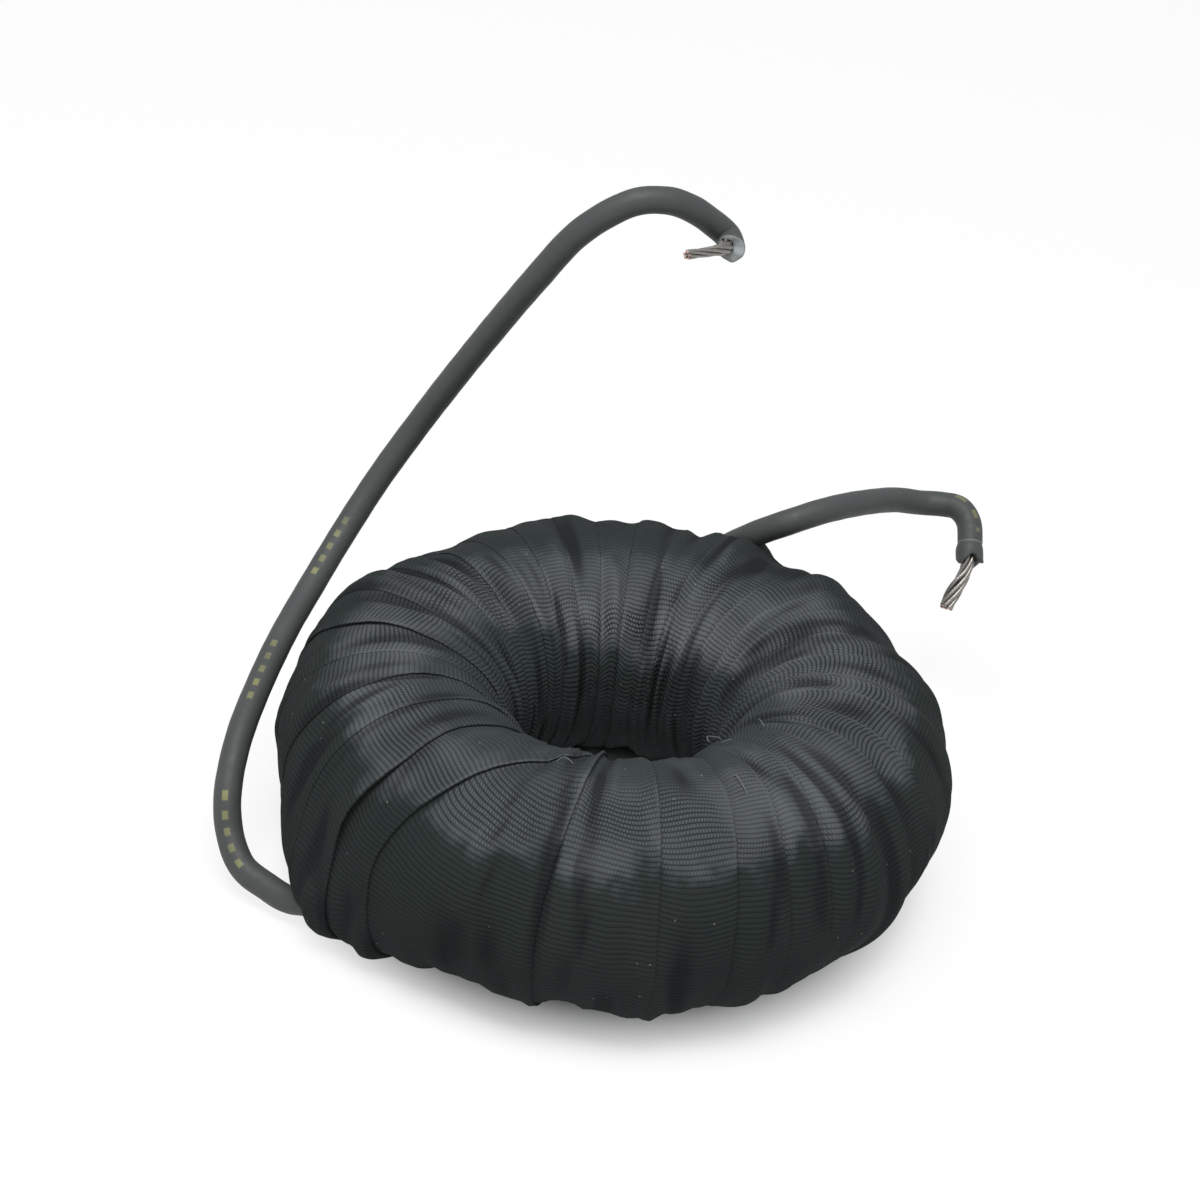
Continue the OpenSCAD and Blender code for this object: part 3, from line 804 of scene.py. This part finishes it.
def make_strands(name, points, jacket_ahead, bore_place, node, taper, stray):
    """Twisted strands with sheared copper ends; one of them may stand off the rest."""
    draws = np.random.default_rng(5 + len(name))
    p = np.array(points, float)
    p[0] += bore_place
    into = p[0] - jacket_ahead * 1.5
    route = smooth_route([into, *p], 10)
    run = run_along(route)
    ahead, side, other = carried_frames(route)
    sides = 12
    turn = np.arange(sides) * 2 * np.pi / sides
    points_all, faces_all, picks = [], [], []
    share = run / run[-1]
    for strand in range(STRAND_COUNT):
        centre = strand == STRAND_COUNT - 1
        start = strand * 2 * np.pi / (STRAND_COUNT - 1)
        spin = start + 2 * np.pi * run / LAY_LENGTH
        thick = STRAND_D * (1 - taper * smooth_step(0.1, 0.8, share))
        loose = 1 + 0.06 * share ** 3 * draws.uniform(0.2, 1.5)
        if strand == stray:
            loose += 0.45 * smooth_step(0.35, 0.6, share)
        reach = 0 if centre else thick * 1.01 * loose
        line = route + arms(side, other, spin) * np.reshape(reach, (-1, 1))
        short = int(draws.integers(0, 3))
        line = line[:len(line) - short]
        rings = [at + arms(side[i], other[i], turn) * thick[i] / 2 for i, at in enumerate(line)]
        tip = len(line) - 1
        shear = ahead[tip] * 0.12
        rim = arms(side[tip], other[tip], turn) * thick[tip] / 2
        rings.append(line[tip] + shear + rim * 0.86)
        rings.append(line[tip] + shear * 1.1 + rim * 0.3)
        first = sum(len(tube) for tube in points_all)
        faces = tube_faces(len(rings), sides, first)
        mark = np.zeros(len(faces), np.int32)
        mark[(len(rings) - 2) * sides:(len(rings) - 1) * sides] = 1
        mark[-1] = 1
        points_all.append(np.concatenate(rings))
        faces_all += faces
        picks.append(mark)
    piece = mesh_piece(name, np.concatenate(points_all), faces_all, [TINNED, COPPER_CUT])
    piece.data.polygons.foreach_set("material_index", np.concatenate(picks))
    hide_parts(node)
    return piece


def make_lead(side_name, points, bare, lips, bore, cut_material, dashes, scored, taper, stray):
    jacket, route, length, ahead = make_jacket(
        side_name + "_jacket", points, side_name + "_lead",
        lips, bore, cut_material, dashes, scored)
    strands = make_strands(
        side_name + "_strand_bundle", bare, ahead, np.array(bore[1]), side_name + "_strands",
        taper, stray)


make_lead("left", on_ring(LEFT_POINTS), on_ring(LEFT_BARE), LEFT_LIPS, LEFT_BORE, PALE_CUT,
          LEFT_DASHES, False, LEFT_TAPER, LEFT_STRAY)
make_lead("right", on_ring(RIGHT_POINTS), on_ring(RIGHT_BARE), RIGHT_LIPS, RIGHT_BORE, DARK_CUT,
          RIGHT_DASHES, True, RIGHT_TAPER, RIGHT_STRAY)


# loose threads
def on_wrap(theta, phi, height):
    """A place above the wrap, by the angles round the ring and round its section."""
    r = MID_R + (HALF_W + height) * math.cos(math.radians(phi))
    z = MID_Z + (HALF_H + height) * math.sin(math.radians(phi))
    return r * math.cos(math.radians(theta)), r * math.sin(math.radians(theta)), z


def make_threads():
    """Loose threads that stand off the tape, each rooted in it."""
    points, faces, sides = [], [], 6
    turn = np.arange(sides) * 2 * np.pi / sides
    for spots in THREADS:
        route = smooth_route([on_wrap(*spot) for spot in spots], 8)
        _, side, other = carried_frames(route)
        first = sum(len(tube) for tube in points)
        rings = route[:, None] + arms(side[:, None], other[:, None], turn) * THREAD_D / 2
        points.append(rings.reshape(-1, 3))
        faces += tube_faces(len(route), sides, first)
    piece = mesh_piece("loose_threads", np.concatenate(points), faces, [FIBRE])


make_threads()


# finishes of the pieces under the tape
def finish_node(node, material):
    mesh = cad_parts[node].data
    mesh.materials.clear()
    mesh.materials.append(material)


IRON = paint_plain("iron_powder", (0.17, 0.17, 0.18, 1), (0.09, 0.09, 0.10, 1), 0.7, 400.0, 0.00005)
COPPER = paint_metal("enamelled_copper", (0.60, 0.25, 0.11, 1), (0.42, 0.15, 0.06, 1), 0.3, 150.0)
SLEEVE = paint_plain("pale_sleeve", (0.80, 0.79, 0.74, 1), (0.70, 0.69, 0.63, 1), 0.5, 300.0, 0.00002)
finish_node("core", IRON)
finish_node("core_wrap", paint_core_wrap())
finish_node("winding", COPPER)
finish_node("left_joint", SLEEVE)
finish_node("right_joint", SLEEVE)


# the studio
def make_floor():
    """A white floor that keeps the ring's shadow and stays dark under the ring and in its hole."""
    half = 3000.0 * MM
    floor = bpy.data.meshes.new("floor")
    floor.from_pydata([(-half, -half, 0), (half, -half, 0), (half, half, 0), (-half, half, 0)],
                      [], [(0, 1, 2, 3)])
    piece = bpy.data.objects.new("floor", floor)
    bpy.context.scene.collection.objects.link(piece)
    material, s, shader = new_material("white_floor")
    path = s.add("ShaderNodeLightPath").outputs
    mirrored = s.math("MAXIMUM", path["Is Glossy Ray"], path["Is Transmission Ray"])
    seen = s.math("MAXIMUM", path["Is Camera Ray"], mirrored)
    bright = s.math("MULTIPLY", seen, s.ramp(from_axis(s), 0.026, 0.040))
    white = s.blend(bright, (0.70, 0.70, 0.70, 1), (0.96, 0.96, 0.96, 1))
    s.tree.links.new(white, shader.inputs["Base Color"])
    shader.inputs["Roughness"].default_value = 0.9
    shader.inputs["Specular IOR Level"].default_value = 0.0
    glow = s.add("ShaderNodeEmission", {"Color": (1, 1, 1, 1), "Strength": 1.0}).outputs["Emission"]
    glowing = s.math("MULTIPLY", bright, 0.84)
    mixed = s.add("ShaderNodeMixShader", {0: glowing, 1: shader.outputs["BSDF"], 2: glow})
    s.tree.links.new(mixed.outputs[0], s.tree.nodes["Material Output"].inputs["Surface"])
    floor.materials.append(material)


def make_softbox(name, place, target, size, watts):
    data = bpy.data.lights.new(name, "AREA")
    data.shape = "RECTANGLE"
    data.size, data.size_y = size
    data.energy = watts
    lamp = bpy.data.objects.new(name, data)
    lamp.location = place
    lamp.rotation_euler = (Vector(target) - Vector(place)).to_track_quat("-Z", "Y").to_euler()
    bpy.context.scene.collection.objects.link(lamp)


def make_world():
    world = bpy.data.worlds.new("studio")
    world.use_nodes = True
    sky = world.node_tree.nodes["Background"].inputs
    sky["Color"].default_value = (0.95, 0.98, 1.0, 1)
    sky["Strength"].default_value = 0.5
    bpy.context.scene.world = world


make_floor()
make_softbox("key_softbox", (-0.05, -0.15, 0.60), (0, 0, 0.01), (0.36, 0.26), 3.0)
make_world()
bpy.context.scene.view_settings.view_transform = "Standard"
